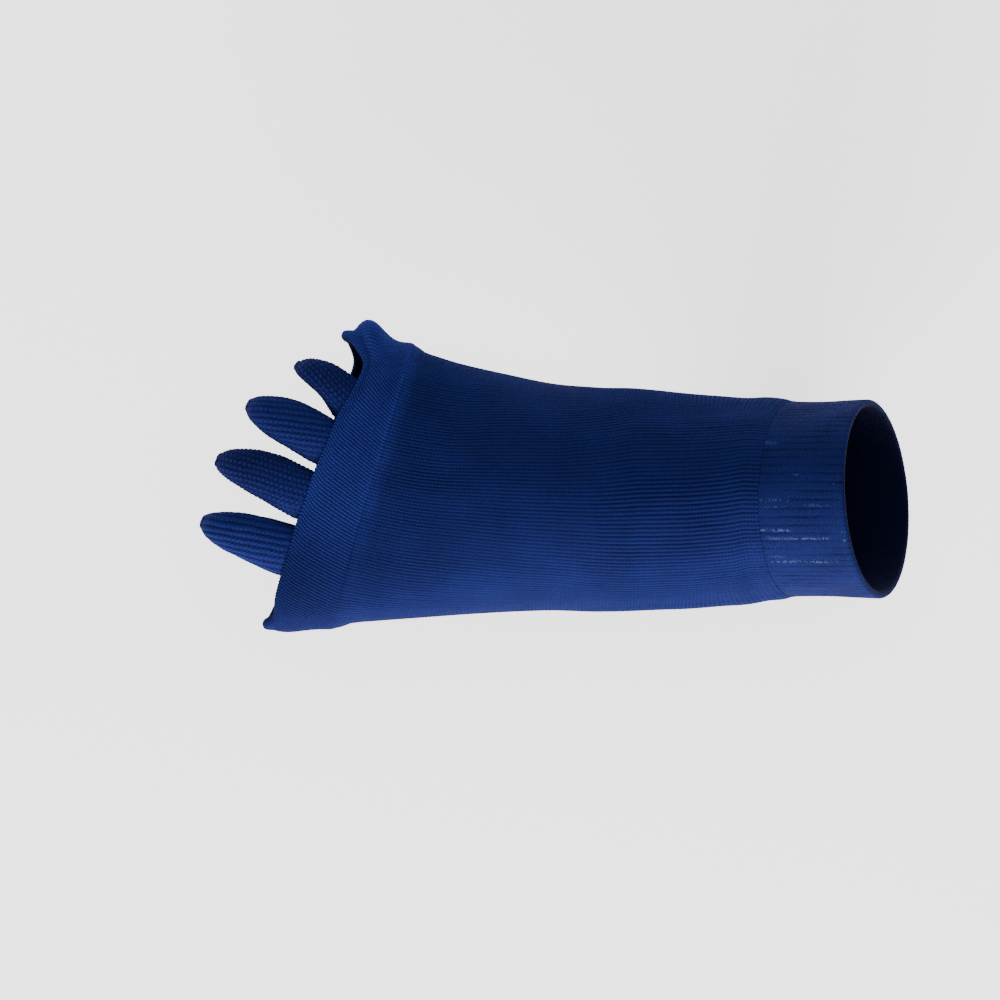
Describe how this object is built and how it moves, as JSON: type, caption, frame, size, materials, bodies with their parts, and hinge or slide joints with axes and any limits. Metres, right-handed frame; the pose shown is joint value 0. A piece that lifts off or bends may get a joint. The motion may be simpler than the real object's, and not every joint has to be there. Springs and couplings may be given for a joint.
{
  "type": "toe sock",
  "caption": "Open-toe knitted sock in navy blue with a ribbed ankle cuff, a doubled toe band and padded wedges that keep the toes apart.",
  "frame": {"origin": "middle of the foot's hollow at the instep, where the foot holds the sock", "axes": "+X towards the leg, along the foot, +Y towards the little toe side, +Z out of the top of the foot"},
  "size_m": [0.2381, 0.1023, 0.1154],
  "materials": {
    "body_knit": "matte ribbed knit",
    "cuff_knit": "matte fine elastic rib knit",
    "band_knit": "matte doubled knit",
    "separator_knit": "matte padded knit"
  },
  "bodies": {
    "root": {"foot_tube": "body_knit", "cuff": "cuff_knit", "toe_band": "band_knit", "toe_separator_1": "separator_knit", "toe_separator_2": "separator_knit", "toe_separator_3": "separator_knit", "toe_separator_4": "separator_knit"}
  },
  "joints": []
}
